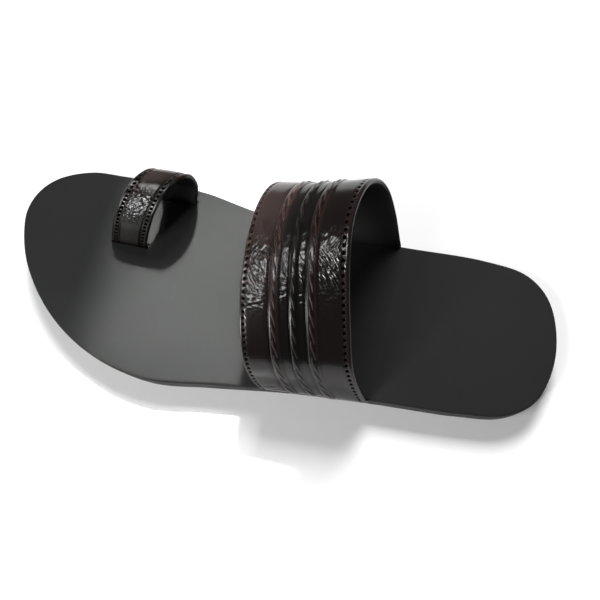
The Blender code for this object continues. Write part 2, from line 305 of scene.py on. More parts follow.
def cut_out(piece: Piece, cutters: Sequence[Piece]) -> Piece:
    """Cut other objects out of a piece, once and for all, and remove them.

    Args:
        piece: The piece that is cut.
        cutters: The objects that are cut out of it.

    Returns:
        The piece, its rims sharp.
    """
    for cutter in cutters:
        modifier = piece.modifiers.new(cutter.name, "BOOLEAN")
        modifier.operation = "DIFFERENCE"
        modifier.solver = "EXACT"
        modifier.object = cutter
    made = bpy.data.meshes.new_from_object(piece.evaluated_get(bpy.context.evaluated_depsgraph_get()))
    piece.modifiers.clear()
    piece.data = made
    made.set_sharp_from_angle(angle=math.radians(RIM_ANGLE))
    for cutter in cutters:
        bpy.data.objects.remove(cutter, do_unlink=True)
    return piece


class Graph:
    """The nodes of one material, added and joined in a maker's order."""

    def __init__(self, name: str) -> None:
        """Start a material from its Principled shader.

        Args:
            name: The material's name.
        """
        self.material = bpy.data.materials.new(name)
        self.material.use_nodes = True
        self.tree = self.material.node_tree
        self.shader = self.tree.nodes["Principled BSDF"]

    def add(self, kind: str, settings: dict[str, object] | None = None, **inputs: object) -> bpy.types.Node:
        """Add a node.

        Args:
            kind: The node's type, without the words ShaderNode before it.
            settings: Properties of the node.
            **inputs: Sockets, named with _ for a space, and the socket or value that each takes.

        Returns:
            The node.
        """
        node = self.tree.nodes.new("ShaderNode" + kind)
        for name, value in (settings or {}).items():
            setattr(node, name, value)
        for name, value in inputs.items():
            self.give(node.inputs[name.replace("_", " ").title()], value)
        return node

    def give(self, target: Socket, value: object) -> None:
        """Join a socket to another, or set it to a value.

        Args:
            target: The socket that takes it.
            value: A socket or a value.
        """
        if isinstance(value, Socket):
            self.tree.links.new(value, target)
        else:
            target.default_value = value

    def math(self, operation: str, *values: object) -> Socket:
        """Work out one number from one, two or three others.

        Args:
            operation: The Math node's operation.
            *values: Sockets or numbers.

        Returns:
            The result's socket.
        """
        node = self.add("Math", {"operation": operation})
        for target, value in zip(node.inputs, values):
            self.give(target, value)
        return node.outputs[0]

    def band(self, value: object, low: float, high: float, start: float = 0.0, end: float = 1.0) -> Socket:
        """Ease from one number to another as a value goes from low to high.

        Args:
            value: The socket that is read.
            low: Where the ease starts.
            high: Where it ends.
            start: The result at low.
            end: The result at high.

        Returns:
            The result's socket.
        """
        node = self.add("MapRange", {"interpolation_type": "SMOOTHSTEP"})
        for target, given in zip(node.inputs, (value, low, high, start, end)):
            self.give(target, given)
        return node.outputs[0]

    def stretched(self, vector: Socket, size: tuple[float, float], turn: float = 0.0) -> Socket:
        """Turn a pattern in the flat and stretch it there.

        Args:
            vector: The coordinates.
            size: How long and how wide one cell of the pattern gets.
            turn: Where its long side points, in degrees.

        Returns:
            The pattern's coordinates.
        """
        node = self.add("Mapping", {"vector_type": "TEXTURE"}, vector=vector, scale=(*size, size[1]),
                        rotation=(0.0, 0.0, math.radians(turn)))
        return node.outputs[0]

    def noise(self, vector: Socket, scale: float, detail: float = 2.0, distortion: float = 0.0) -> Socket:
        """Add a noise pattern about 0.5, so fine, with so many finer layers and so much bent."""
        return self.add("TexNoise", vector=vector, scale=scale, detail=detail,
                        distortion=distortion).outputs["Fac"]

    def bump(self, height: object, depth: float, under: Socket | None = None) -> Socket:
        """Bend the surface's normals by a height.

        Args:
            height: The height's socket, from 0 to 1.
            depth: How deep 1 is, in metres.
            under: The normals that it bends, where there are others below it.

        Returns:
            The bent normals.
        """
        node = self.add("Bump", height=height, distance=depth, strength=1.0)
        if under is not None:
            self.give(node.inputs["Normal"], under)
        return node.outputs["Normal"]

    def mix(self, share: object, first: object, second: object, kind: Mixed = Mixed.COLOUR) -> Socket:
        """Mix two colours or two numbers.

        Args:
            share: How much of the second there is.
            first: The first one, or its socket.
            second: The second one, or its socket.
            kind: Whether they are colours or numbers.

        Returns:
            The mixed one.
        """
        data_type, inputs, output = kind.value
        node = self.add("Mix", {"data_type": data_type})
        for index, value in zip(inputs, (share, first, second)):
            self.give(node.inputs[index], value)
        return node.outputs[output]


@dataclass(frozen=True)
class BandLeather:
    """Glossy corrected leather of strap and loop: black to red-brown, with fine wrinkles and holes, the holes
    painted near black for the shade inside them.

    Its patterns are sized in millimetres of the flat blank. Where it is worn, it is redder and glossier.
    """

    name: str
    hole_rows: tuple[float, ...]
    hole_pitch: float
    hole_half: float
    squareness: float
    level_below: float
    crossed_above: float
    black: Colour = (0.0024, 0.0021, 0.0019, 1.0)
    red_brown: Colour = (0.0112, 0.0071, 0.0065, 1.0)
    roughness: float = 0.19
    specular: float = 0.34
    wrinkle_depth: float = 0.46 * MM
    wrinkle_size: tuple[float, float] = (3.3, 1.15)
    wrinkle_turns: tuple[float, float, float] = (-9.0, -50.0, 48.0)
    wrinkle_fades: tuple[float, float] = (5.0, 4.0)
    patina_size: tuple[float, float] = (18.0, 11.0)
    patina_share: float = 0.9
    mottle_size: tuple[float, float] = (2.0, 1.4)
    mottle_share: float = 0.35
    worn_red: float = 0.55
    worn_gloss: float = 0.12
    hole_rim: tuple[float, float] = (0.75, 1.15)
    hole_depth: float = 0.35 * MM
    hole_roughness: float = 0.4
    # Near black: painted shade inside the needle holes
    hole_shade_colour: Colour = (0.0012, 0.0011, 0.0011, 1.0)
    grain_scale: float = 1.5
    grain_depth: float = 0.018 * MM

    def holes(self, graph: Graph, across: Socket, along: Socket) -> Socket:
        """Mark the needle holes of the edge seams.

        Args:
            graph: The material's nodes.
            across: Millimetres from the front edge.
            along: Millimetres from the outer foot.

        Returns:
            A socket that is 1 in a hole and 0 outside it.
        """
        share = graph.math("FRACT", graph.math("DIVIDE", along, self.hole_pitch))
        along_off = graph.math("MULTIPLY", graph.math("ABSOLUTE", graph.math("SUBTRACT", share, 0.5)),
                               self.hole_pitch / self.hole_half)
        marks = None
        for row in self.hole_rows:
            across_off = graph.math("DIVIDE", graph.math("ABSOLUTE", graph.math("SUBTRACT", across, row)),
                                    self.hole_half)
            power = self.squareness
            reach = graph.math("POWER", graph.math("ADD", graph.math("POWER", along_off, power),
                                                   graph.math("POWER", across_off, power)), 1.0 / power)
            mark = graph.band(reach, *self.hole_rim, 1.0, 0.0)
            marks = mark if marks is None else graph.math("MAXIMUM", marks, mark)
        return marks

    def material(self) -> bpy.types.Material:
        """Make the material.

        Returns:
            The material, whose pattern lies in the flat blank.
        """
        graph = Graph(self.name)
        flat, red, flex = (graph.add("Attribute", {"attribute_name": label}).outputs[output] for label, output
                           in (("blank", "Vector"), ("red", "Fac"), ("flex", "Fac")))
        across, along, _ = graph.add("SeparateXYZ", vector=flat).outputs
        holes = self.holes(graph, across, along)
        whole = graph.math("SUBTRACT", 1.0, holes)

        patina = graph.noise(graph.stretched(flat, self.patina_size, 90.0), 1.0, 3.0, 0.6)
        mottle = graph.noise(graph.stretched(flat, self.mottle_size, 90.0), 1.0, 4.0)
        worn = graph.math("MULTIPLY_ADD", graph.math("SUBTRACT", patina, 0.5), self.patina_share,
                          graph.math("MULTIPLY", graph.math("SUBTRACT", mottle, 0.5), self.mottle_share))
        redness = graph.math("MULTIPLY_ADD", worn, self.worn_red, red)
        # Painted shade: the needle holes are coloured near black for the shade inside them, and below they
        # also lose their gloss
        colour = graph.mix(holes, graph.mix(redness, self.black, self.red_brown), self.hole_shade_colour)
        graph.give(graph.shader.inputs["Base Color"], colour)

        wrinkle, *upper = (graph.noise(graph.stretched(flat, self.wrinkle_size, turn), 1.0, 0.3, 0.35)
                           for turn in self.wrinkle_turns)
        changes = zip((self.level_below, self.crossed_above), self.wrinkle_fades, upper)
        for change, fade, following in changes:
            share = graph.band(along, change - fade, change + fade)
            wrinkle = graph.mix(share, wrinkle, following, Mixed.NUMBER)
        pores = graph.add("TexVoronoi", {"feature": "SMOOTH_F1"}, vector=flat, scale=self.grain_scale)
        normal = graph.bump(pores.outputs["Distance"], self.grain_depth)
        height = graph.math("MULTIPLY", graph.math("SUBTRACT", wrinkle, 0.5), flex)
        normal = graph.bump(height, self.wrinkle_depth, normal)
        graph.give(graph.shader.inputs["Normal"], graph.bump(whole, self.hole_depth, normal))

        roughness = graph.math("MULTIPLY_ADD", worn, -self.worn_gloss, self.roughness)
        roughness = graph.math("MULTIPLY_ADD", holes, self.hole_roughness, roughness)
        graph.give(graph.shader.inputs["Roughness"], roughness)
        graph.give(graph.shader.inputs["Specular IOR Level"], graph.math("MULTIPLY", whole, self.specular))
        return graph.material


@dataclass(frozen=True)
class PlainGoods:
    """An even material with a fine grain: lining, thread, whip stitches, insole, outsole or floor."""

    name: str
    colour: Colour
    tone: Colour
    roughness: float
    grain_size: float
    grain_depth: float
    swell_size: float = 30.0 * MM
    swell_depth: float = 0.0
    specular: float = 0.5
    fine_share: float = 0.25
    tone_band: tuple[float, float] = (0.38, 0.62)
    gloss_band: tuple[float, float] = (0.3, 0.7)
    gloss_play: float = 0.03
    cell_share: float = 0.6

    def material(self) -> bpy.types.Material:
        """Make the material.

        Returns:
            The material, whose grain lies in the object's own coordinates.
        """
        graph = Graph(self.name)
        place = graph.add("TexCoord").outputs["Object"]
        broad = graph.noise(place, 1.0 / self.swell_size, 3.0, 0.3)
        fine = graph.noise(place, 1.0 / self.grain_size, 4.0)
        cells = graph.add("TexVoronoi", {"feature": "SMOOTH_F1"}, vector=place,
                          scale=1.0 / self.grain_size).outputs["Distance"]
        both = graph.math("MULTIPLY_ADD", fine, self.fine_share,
                          graph.math("MULTIPLY", broad, 1.0 - self.fine_share))
        colour = graph.mix(graph.band(both, *self.tone_band), self.colour, self.tone)
        graph.give(graph.shader.inputs["Base Color"], colour)
        roughness = graph.band(fine, *self.gloss_band, self.roughness - self.gloss_play,
                               self.roughness + self.gloss_play)
        graph.give(graph.shader.inputs["Roughness"], roughness)
        grain = graph.math("MULTIPLY_ADD", fine, 1.0 - self.cell_share,
                           graph.math("MULTIPLY", cells, self.cell_share))
        normal = graph.bump(grain, self.grain_depth)
        if self.swell_depth:
            normal = graph.bump(broad, self.swell_depth, normal)
        graph.give(graph.shader.inputs["Normal"], normal)
        graph.shader.inputs["Specular IOR Level"].default_value = self.specular
        return graph.material


@dataclass(frozen=True)
class Outline:
    """The sole seen from above: a heel tip, a toe tip and rows of its two edges between them."""

    length: float = 286.0 * MM
    ball_width: float = 106.8 * MM
    heel_tip_across: float = 0.005
    toe_tip_across: float = 0.199
    curve_steps: int = 12
    rows: tuple[OutlineRow, ...] = table(
        OutlineRow, (0.02, -0.209, 0.24), (0.061, -0.297, 0.346), (0.132, -0.334, 0.38),
        (0.272, -0.365, 0.376), (0.412, -0.405, 0.374), (0.552, -0.463, 0.423), (0.66, -0.507, 0.478),
        (0.745, -0.479, 0.492), (0.832, -0.389, 0.49), (0.9, -0.263, 0.48), (0.96, -0.083, 0.411),
        (0.99, 0.078, 0.317)
    )

    def edge(self, side: Side) -> np.ndarray:
        """Draw one edge of the sole from heel tip to toe tip.

        Args:
            side: Which edge.

        Returns:
            Its points, one a row, from a heel tip at Y = 0.
        """
        heel = (self.heel_tip_across * self.ball_width, 0.0)
        toe = (self.toe_tip_across * self.ball_width, self.length)
        outer = [(row.outer * self.ball_width, row.along * self.length) for row in self.rows]
        inner = [(row.inner * self.ball_width, row.along * self.length) for row in self.rows]
        own, other = (outer, inner) if side is Side.OUTER else (inner, outer)
        return spline([other[0], heel, *own, toe, other[-1]], self.curve_steps)

    def x_at(self, side: Side, y: np.ndarray | float) -> np.ndarray:
        """Find where an edge lies, so far from the heel tip."""
        edge = self.edge(side)
        return np.interp(y, np.maximum.accumulate(edge[:, 1]), edge[:, 0])

    def ring(self, count: int) -> np.ndarray:
        """Draw the whole outline with even steps.

        Args:
            count: How many points it has.

        Returns:
            Its points, one a row, from the heel tip along the inner edge and back along the outer one.
        """
        closed = np.vstack([self.edge(Side.INNER), self.edge(Side.OUTER)[-2::-1]])
        passed = lengths_along(closed)
        steps = np.linspace(0.0, passed[-1], count, endpoint=False)
        return np.column_stack([np.interp(steps, passed, closed[:, axis]) for axis in (0, 1)])


@dataclass
class Sole:
    """Outsole and insole, their rims rounded, the outsole ribbed under heel and forefoot."""

    outline: Outline = field(default_factory=Outline)
    outsole_thickness: float = 8.0 * MM
    insole_thickness: float = 5.2 * MM
    arch_rise: float = 1.6 * MM
    arch_span: tuple[float, float] = (0.27, 0.54)
    toe_spring: float = 2.8 * MM
    toe_spring_start: float = 0.816
    insole_radius: float = 1.3 * MM
    outsole_radius: float = 0.9 * MM
    clearance: float = 0.3 * MM
    groove_width: float = 3.0 * MM
    groove_pitch: float = 8.5 * MM
    groove_depth: float = 1.3 * MM
    tread_rim: float = 9.0 * MM
    treads: tuple[tuple[float, float], ...] = ((0.07, 0.24), (0.58, 0.80))
    ring_count: int = 260
    rim_segments: int = 4
    station_step: float = 4.0 * MM

    def toe_lift(self, y: np.ndarray | float) -> np.ndarray | float:
        """Find how far the sole has risen towards the toe tip, so far from the heel tip."""
        share = (y / self.outline.length - self.toe_spring_start) / (1.0 - self.toe_spring_start)
        return self.toe_spring * np.maximum(share, 0.0) ** 2

    def arch_lift(self, y: np.ndarray | float) -> np.ndarray | float:
        """Find how far the underside rises between heel and forefoot.

        Args:
            y: How far from the heel tip.

        Returns:
            The rise.
        """
        start, end = self.arch_span
        share = (y / self.outline.length - start) / (end - start)
        return self.arch_rise * ease(1.0 - np.abs(2.0 * share - 1.0))

    def insole_top(self, y: np.ndarray | float) -> np.ndarray | float:
        """Find the height of the face that the foot rests on, so far from the heel tip."""
        return self.outsole_thickness + self.clearance + self.insole_thickness + self.toe_lift(y)

    def layer(self, name: str, low: float, high: float, low_radius: float, high_radius: float,
              arched: bool) -> Piece:
        """Make one layer of the sole: its outline, raised, its rims rounded, then bent at toe and arch.

        Args:
            name: The piece's name.
            low: Height of its underside where the sole is flat.
            high: Height of its upper side there.
            low_radius: Radius of its lower rim.
            high_radius: Radius of its upper rim.
            arched: Whether its underside rises between heel and forefoot.

        Returns:
            The piece, its heel tip at Y = 0.
        """
        work = bmesh.new()
        bmesh.ops.create_circle(work, cap_ends=True, segments=self.ring_count, radius=1.0)
        ring = self.outline.ring(self.ring_count)
        verts = sorted(work.verts, key=lambda vert: math.atan2(vert.co.y, vert.co.x) % math.tau)
        for vert, (x, y) in zip(verts, ring):
            vert.co = (x, y, low)
        raise_faces(work, high - low)
        bmesh.ops.recalc_face_normals(work, faces=work.faces[:])
        for height, radius in ((low, low_radius), (high, high_radius)):
            rim = [edge for edge in work.edges
                   if all(abs(vert.co.z - height) < TOUCH for vert in edge.verts)]
            bmesh.ops.bevel(work, geom=rim, offset=radius, offset_type="OFFSET", segments=self.rim_segments,
                            profile=0.5, affect="EDGES", material=-1)
        for y in np.arange(self.station_step, self.outline.length, self.station_step):
            bmesh.ops.bisect_plane(work, geom=work.verts[:] + work.edges[:] + work.faces[:], dist=TOUCH,
                                   plane_co=(0.0, float(y), 0.0), plane_no=(0.0, 1.0, 0.0))
        middle = (low + high) / 2.0
        for vert in work.verts:
            lift = float(self.toe_lift(vert.co.y))
            if arched and vert.co.z < middle:
                lift += float(self.arch_lift(vert.co.y))
            vert.co.z += lift
        return new_piece(name, work, RIM_ANGLE)

    def groove_cutter(self) -> Piece:
        """Make the bars that leave the cross grooves between the ribs.

        Returns:
            One object that holds all bars.
        """
        work = bmesh.new()
        for start, end in self.treads:
            for index in range(int((end - start) * self.outline.length / self.groove_pitch) + 1):
                back = start * self.outline.length + index * self.groove_pitch
                ends = (back, back + self.groove_width)
                left = max(self.outline.x_at(Side.OUTER, y) for y in ends) + self.tread_rim
                right = min(self.outline.x_at(Side.INNER, y) for y in ends) - self.tread_rim
                size = Vector((right - left, self.groove_width, 2.0 * self.groove_depth))
                middle = Vector(((left + right) / 2.0, back + self.groove_width / 2.0, 0.0))
                bmesh.ops.create_cube(work, size=1.0, matrix=Matrix.LocRotScale(middle, None, size))
        return new_piece("groove_cutter", work)

    def build_outsole(self) -> Piece:
        """Make the ribbed outsole.

        Returns:
            The piece, its heel tip at Y = 0.
        """
        rims = (self.outsole_radius, self.clearance)
        outsole = self.layer("outsole_foam", 0.0, self.outsole_thickness, *rims, True)
        return cut_out(outsole, [self.groove_cutter()])

    def build_insole(self, cutters: Sequence[Piece]) -> Piece:
        """Make the covered insole, with the seats of the bands cut out of it.

        Args:
            cutters: The space that each folded end of a band needs.

        Returns:
            The piece, its heel tip at Y = 0.
        """
        low = self.outsole_thickness + self.clearance
        rims = (self.clearance, self.insole_radius)
        return cut_out(self.layer("insole_cover", low, low + self.insole_thickness, *rims, False), cutters)


@dataclass
class BentSheet:
    """A band's outer face as a fine net, read at any place of its flat blank."""

    places: np.ndarray
    normals: np.ndarray
    walls: np.ndarray
    width: float
    length: float

    def read(self, net: np.ndarray, across: np.ndarray, along: np.ndarray) -> np.ndarray:
        """Read one of the nets between its points.

        Args:
            net: The net, indexed by its step along the band, then across it.
            across: Distances from the front edge.
            along: Distances from the outer tab's tip.

        Returns:
            The net's value at each place.
        """
        rows, columns = net.shape[:2]
        row = np.clip(along / self.length, 0.0, 1.0) * (rows - 1)
        column = np.clip(across / self.width, 0.0, 1.0) * (columns - 1)
        row_low = np.minimum(row.astype(int), rows - 2)
        column_low = np.minimum(column.astype(int), columns - 2)
        row_share = (row - row_low)[:, None]
        column_share = (column - column_low)[:, None]
        low = net[row_low, column_low] * (1 - column_share) + net[row_low, column_low + 1] * column_share
        high = net[row_low + 1, column_low] * (1 - column_share) + net[
            row_low + 1, column_low + 1] * column_share
        return low * (1 - row_share) + high * row_share

    def bend(self, flat: np.ndarray, rise: np.ndarray) -> np.ndarray:
        """Bend flat points over the arch.

        Args:
            flat: Places in the blank: across, along, and the share of the wall below the outer face.
            rise: How far each point stands above the outer face there.

        Returns:
            Their places in the slipper.
        """
        place = self.read(self.places, flat[:, 0], flat[:, 1])
        normal = self.read(self.normals, flat[:, 0], flat[:, 1])
        normal /= np.linalg.norm(normal, axis=1)[:, None]
        wall = self.read(self.walls, flat[:, 0], flat[:, 1])
        return place + normal * (rise[:, None] - wall * flat[:, 2:3])


@dataclass
class Band:
    """A leather band over the foot: a flat blank of two plies, bent over an arch, its ends folded in.

    The relief rows step its outer face, by shares of the width from the front edge and shares of the relief.
    The tints go from black at 0 to red-brown at 1, by the same shares of the width. The flex goes from
    smooth at 0 to full of wrinkles at 1, by millimetres across and along the blank. Columns crowd where
    the relief has steps, and the lining has so many times fewer columns and rows than the leather.
    """

    sole: Sole
    name: str
    node: str
    width: float
    wall: float
    back_height: float
    front_height: float
    back_lean: float
    front_lean: float
    relief: float
    tab: float
    arch: tuple[ArchRow, ...]
    relief_rows: tuple[Step, ...]
    tints: tuple[Step, ...]
    flex_across: tuple[Step, ...]
    flex_along: tuple[Step, ...]
    creases: tuple[Crease, ...]
    seam_rows: tuple[float, ...]
    seam_pitch: float
    thread_length: float
    fold_radius: float = 3.4 * MM
    tab_thickness: float = 1.5 * MM
    rim_radius: float = 0.55 * MM
    lining_inset: float = 0.5 * MM
    notch_opening: float = 0.0
    crease_trough: float = 0.55 * MM
    crease_ridge: float = 0.75 * MM
    crease_sway: float = 0.10
    crease_bends: float = 2.2
    crease_taper: float = 1.35
    ridge_from_trough: float = 1.15 * MM
    ridge_share: float = 0.55
    seam_draw: float = 0.10 * MM
    seam_spread: float = 1.10 * MM
    hole_dent: float = 0.22 * MM
    hole_spread: float = 0.70 * MM
    rim_drop: float = 0.35
    lining_roll: float = 0.30 * MM
    thread_half: tuple[float, float] = (0.24 * MM, 0.20 * MM)
    thread_sunk: float = 0.26 * MM
    thread_facets: tuple[int, int] = (6, 6)
    stitch_flare: float = 0.15
    above_fold: float = 1.5 * MM
    underside_tint: float = -0.2
    crowding_slope: float = 12.0
    crowding_limit: float = 3.0
    columns: int = 96
    rows: int = 330
    fewer_in_lining: tuple[int, int] = (3, 2)
    arch_steps: int = 8
    fold_points: int = 9
    seat_columns: int = 15
    normal_smoothing: int = 6
    sheet: BentSheet = field(init=False)

    def __post_init__(self) -> None:
        """Bend the band's net once."""
        self.sheet = self.bent_sheet()

    def foot(self, side: Side, across: float) -> np.ndarray:
        """Place a foot's outer face on the insole, at a share of the width from the front edge."""
        raise NotImplementedError

    def fold_direction(self, side: Side) -> np.ndarray:
        """Find the level direction in which a foot's end is folded in.

        Args:
            side: Which foot.

        Returns:
            A unit vector, square to the foot and towards the other one.
        """
        other = Side.INNER if side is Side.OUTER else Side.OUTER
        line = self.foot(side, 1.0) - self.foot(side, 0.0)
        square = np.array([-line[1], line[0], 0.0]) / np.linalg.norm(line)
        return square * np.sign(np.dot(square, self.foot(other, 0.5) - self.foot(side, 0.5)))

    def folded_end(self, side: Side, across: float, tab: float) -> list[tuple[np.ndarray, float]]:
        """Draw the outer line of a folded end, from the tab's tip up to the foot.

        Args:
            side: Which foot.
            across: Share of the width from the front edge.
            tab: How long the flat tab is.

        Returns:
            Places with the wall at each of them.
        """
        inward = self.fold_direction(side)
        low = self.foot(side, across) - UP * self.sole.insole_thickness
        centre = low + (inward + UP) * self.fold_radius
        line = [(low + inward * (self.fold_radius + tab), self.tab_thickness)]
        for share in np.linspace(0.0, 1.0, self.fold_points):
            turn = 0.5 * math.pi * share
            place = centre - (inward * math.sin(turn) + UP * math.cos(turn)) * self.fold_radius
            line.append((place, self.tab_thickness + (self.wall - self.tab_thickness) * share))
        return line

    def line(self, across: float) -> tuple[np.ndarray, np.ndarray]:
        """Draw the band's outer line from tab to tab.

        Args:
            across: Share of the width from the front edge.

        Returns:
            The line's places and the wall at each of them.
        """
        outer, inner = self.foot(Side.OUTER, across), self.foot(Side.INNER, across)
        height = self.front_height + (self.back_height - self.front_height) * across
        lean = self.front_lean + (self.back_lean - self.front_lean) * across
        rise = np.array([0.0, lean, 1.0]) * height
        points = [outer - UP * self.fold_radius, outer]
        for row in self.arch:
            along = row.front_across + (row.back_across - row.front_across) * across
            level = row.front_height + (row.back_height - row.front_height) * across
            points.append(outer + (inner - outer) * along + rise * level)
        points += [inner, inner - UP * self.fold_radius]
        arch = [(place, self.wall) for place in spline(points, self.arch_steps)]
        both = self.folded_end(Side.OUTER, across, self.tab) + arch
        both += self.folded_end(Side.INNER, across, self.tab)[::-1]
        return np.array([place for place, _ in both]), np.array([wall for _, wall in both])

    def bent_sheet(self, net_rows: int = 420, net_columns: int = 41) -> BentSheet:
        """Sample the band's lines with even steps into one net.

        Args:
            net_rows: Steps along the band.
            net_columns: Steps across it.

        Returns:
            The net.
        """
        places = np.zeros((net_rows, net_columns, 3))
        walls = np.zeros((net_rows, net_columns, 1))
        lengths = []
        for column, across in enumerate(np.linspace(0.0, 1.0, net_columns)):
            points, wall = self.line(float(across))
            passed = lengths_along(points)
            steps = np.linspace(0.0, passed[-1], net_rows)
            for axis in range(3):
                places[:, column, axis] = np.interp(steps, passed, points[:, axis])
            walls[:, column, 0] = np.interp(steps, passed, wall)
            lengths.append(passed[-1])
        normals = net_normals(places)
        for _ in range(self.normal_smoothing):
            normals[1:-1] = (normals[:-2] + 2.0 * normals[1:-1] + normals[2:]) / 4.0
        return BentSheet(places, normals, walls, self.width, float(np.mean(lengths)))

    def shown(self, flat: np.ndarray) -> np.ndarray:
        """Find how much of each flat place lies above the sole: 0 in a tab, 1 above the fold."""
        wall = self.sheet.read(self.sheet.walls, flat[:, 0], flat[:, 1])[:, 0]
        return (wall - self.tab_thickness) / (self.wall - self.tab_thickness)

    def crease_rise(self, across: np.ndarray, along: np.ndarray) -> np.ndarray:
        """Find how deep the creases lie at places of the blank.

        Args:
            across: Distances from the front edge.
            along: Distances from the outer tab's tip.

        Returns:
            The rise, below zero in a trough and just above it on the ridge beside it.
        """
        rise = np.zeros(len(across))
        for crease in self.creases:
            turn = math.radians(crease.turn)
            off_across, off_along = across - crease.across * MM, along - crease.along * MM
            run = off_along * math.cos(turn) + off_across * math.sin(turn)
            off = off_across * math.cos(turn) - off_along * math.sin(turn)
            half = crease.length * MM / 2.0
            off = off - self.crease_sway * half * np.sin(run / half * self.crease_bends)
            taper = ease(self.crease_taper - self.crease_taper * np.abs(run) / half)
            trough = np.exp(-(off / self.crease_trough) ** 2)
            ridge = np.exp(-((off - self.ridge_from_trough) / self.crease_ridge) ** 2)
            rise += crease.depth * MM * taper * (self.ridge_share * ridge - trough)
        return rise

    def seam_rise(self, across: np.ndarray, along: np.ndarray) -> np.ndarray:
        """Find how far each seam draws the leather in.

        Args:
            across: Distances from the front edge.
            along: Distances from the outer tab's tip.

        Returns:
            The rise, below zero along the seams and lowest at their holes.
        """
        rise = np.zeros(len(across))
        from_hole = (np.mod(along / self.seam_pitch, 1.0) - 0.5) * self.seam_pitch
        for row in self.seam_rows:
            off = across - row
            rise -= self.seam_draw * np.exp(-(off / self.seam_spread) ** 2)
            rise -= self.hole_dent * np.exp(-(off ** 2 + from_hole ** 2) / self.hole_spread ** 2)
        return rise

    def outer_rise(self, flat: np.ndarray) -> np.ndarray:
        """Find how far the outer face stands off the bent net: steps, rims, seams and creases.

        Args:
            flat: Places in the blank.

        Returns:
            The rise at each place.
        """
        across, along = flat[:, 0], flat[:, 1]
        from_edge = np.clip(np.minimum(across, self.width - across) / self.rim_radius, 0.0, 1.0)
        rim = -self.rim_drop * self.rim_radius * (1.0 - np.sqrt(1.0 - (1.0 - from_edge) ** 2))
        rise = self.ground(flat) + rim + self.seam_rise(across, along) + self.crease_rise(across, along)
        return rise * self.shown(flat)

    def flex(self, flat: np.ndarray) -> np.ndarray:
        """Find how wrinkled the leather is at each flat place, from 0 for smooth to 1."""
        across, along = flat[:, 0] / MM, flat[:, 1] / MM
        return ease(read_steps(self.flex_across, across)) * ease(read_steps(self.flex_along, along))

    def column_places(self) -> np.ndarray:
        """Place the blank's columns, closer together where its face has steps.

        Returns:
            Shares of the width, from 0 to 1.
        """
        even = np.linspace(0.0, 1.0, 401)
        slope = np.abs(np.gradient(read_steps(self.relief_rows, even), even))
        weight = 1.0 + np.minimum(slope / self.crowding_slope, self.crowding_limit)
        passed = np.concatenate([[0.0], np.cumsum((weight[1:] + weight[:-1]) / 2.0)])
        return np.interp(np.linspace(0.0, passed[-1], self.columns + 1), passed, even)

    def blank(self, name: str, ply: Ply, columns: np.ndarray, rows: int, inset: float) -> Piece:
        """Cut one ply flat and bend it over the arch.

        Args:
            name: The piece's name.
            ply: Which ply.
            columns: Shares of the width where its columns lie.
            rows: Steps along it.
            inset: How far its edges lie in from the band's.

        Returns:
            The piece, with its flat places kept as the attribute blank, in millimetres.
        """
        piece = new_piece(name, double_sheet(len(columns) - 1, rows), PLY_ANGLE)
        raw = read_places(piece.data)
        start, end = ply.value
        low_side = raw[:, 2] > 0.5
        shares = np.interp(raw[:, 0] + 0.5, np.linspace(0.0, 1.0, len(columns)), columns)
        flat = np.column_stack([
            inset + shares * (self.width - 2.0 * inset),
            (raw[:, 1] + 0.5) * self.sheet.length,
            np.where(low_side, end, start),
        ])
        if ply is Ply.LEATHER:
            rise = np.where(low_side, 0.0, self.outer_rise(flat))
        else:
            from_edge = (np.minimum(flat[:, 0], self.width - flat[:, 0]) - inset) / MM
            rise = np.where(low_side, self.lining_roll * (1.0 - ease(from_edge)), 0.0) * self.shown(flat)
        write_places(piece.data, self.sheet.bend(flat, rise))
        red = read_steps(self.tints, flat[:, 0] / self.width)
        for label, kind, part, values in (
            ("blank", "FLOAT_VECTOR", "vector", flat / MM),
            ("red", "FLOAT", "value", np.where(low_side, self.underside_tint, red)),
            ("flex", "FLOAT", "value", np.where(low_side, 0.0, self.flex(flat))),
        ):
            kept = piece.data.attributes.new(label, kind, "POINT")
            kept.data.foreach_set(part, values.astype(np.float32).ravel())
        self.face_out(piece)
        return piece

    def face_out(self, piece: Piece) -> None:
        """Turn a closed piece's faces outwards.

        Args:
            piece: The piece.
        """
        work = bmesh.new()
        work.from_mesh(piece.data)
        bmesh.ops.recalc_face_normals(work, faces=work.faces[:])
        work.to_mesh(piece.data)
        work.free()

    def sewn(self, name: str, spots: Sequence[tuple[float, float]], half: tuple[float, float, float],
             sway: Callable[[np.ndarray], np.ndarray], facets: tuple[int, int], lift: float) -> Piece:
        """Lay the same small stitch at many places and bend all of them over the arch.

        Args:
            name: The piece's name.
            spots: Places in the blank: across and along.
            half: Half the stitch's width, length and thickness.
            sway: How far the stitch lies to the side at each share of its half length.
            facets: How many rings it has from end to end, and how many sides.
            lift: How far its middle stands above the leather.

        Returns:
            One piece that holds all stitches.
        """
        work = bmesh.new()
        rings, sides = facets
        turn = Matrix.Rotation(math.radians(90.0), 4, "X")
        for across, along in spots:
            made = bmesh.ops.create_uvsphere(work, u_segments=sides, v_segments=rings, radius=1.0,
                                             matrix=turn)
            for vert in made["verts"]:
                share = vert.co.y
                fuller = 1.0 + self.stitch_flare * share * share
                vert.co = (across + vert.co.x * half[0] * fuller + float(sway(share)),
                           along + share * half[1], vert.co.z * half[2] * fuller)
        piece = new_piece(name, work)
        raw = read_places(piece.data)
        flat = np.column_stack([raw[:, 0], raw[:, 1], np.zeros(len(raw))])
        write_places(piece.data, self.sheet.bend(flat, self.ground(flat) + lift + raw[:, 2]))
        self.face_out(piece)
        return piece

    def ground(self, flat: np.ndarray) -> np.ndarray:
        """Find the steps' height at each flat place, without seams, rims and creases."""
        return read_steps(self.relief_rows, flat[:, 0] / self.width) * self.relief

